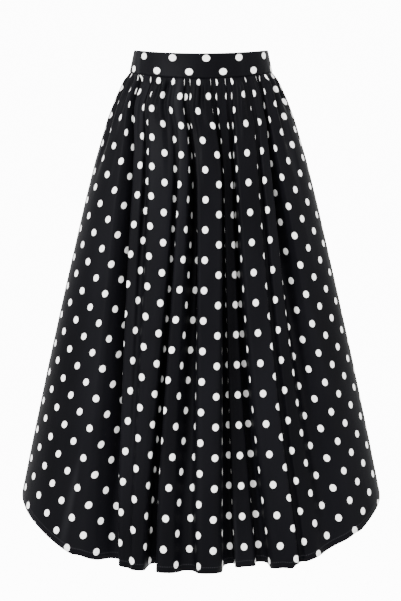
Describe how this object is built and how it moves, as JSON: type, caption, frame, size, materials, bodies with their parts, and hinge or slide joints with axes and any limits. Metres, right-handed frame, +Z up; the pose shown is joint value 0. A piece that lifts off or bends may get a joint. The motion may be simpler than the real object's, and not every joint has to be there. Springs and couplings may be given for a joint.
{
  "type": "gathered skirt",
  "caption": "Gathered midi skirt with a flat waistband, deep soft folds, a curved shirt-tail hem and a concealed back zip, in worn form.",
  "frame": {"origin": "the waist mount: centre of the waistband, on the skirt's axis, at the middle of the band's height at the sides", "axes": "+Z up along the skirt's axis, front of the skirt faces -Y, +X to the viewer's right when the front is seen"},
  "size_m": [0.6416, 0.3377, 0.918],
  "materials": {
    "waistband_satin": "black satin-weave cotton with off-white polka dots, soft sheen",
    "skirt_satin": "black satin-weave cotton with off-white polka dots, soft sheen",
    "zip_tape": "black woven polyester tape, matt",
    "zip_metal": "black enamel on die-cast metal, semi-gloss"
  },
  "bodies": {
    "skirt": {"waistband_front": "waistband_satin", "waistband_back_left": "waistband_satin", "waistband_back_right": "waistband_satin", "skirt_front": "skirt_satin", "skirt_back_left": "skirt_satin", "skirt_back_right": "skirt_satin", "zip_tape": "zip_tape", "zip_slider": "zip_metal"},
    "pull_tab": {"zip_pull_tab": "zip_metal"}
  },
  "joints": [
    {"name": "tab_swing", "type": "hinge", "parent": "skirt", "child": "pull_tab", "pos_m": [0, 0.096, 0.0125], "axis": [1, 0, 0], "range_deg": [0, 150]}
  ]
}
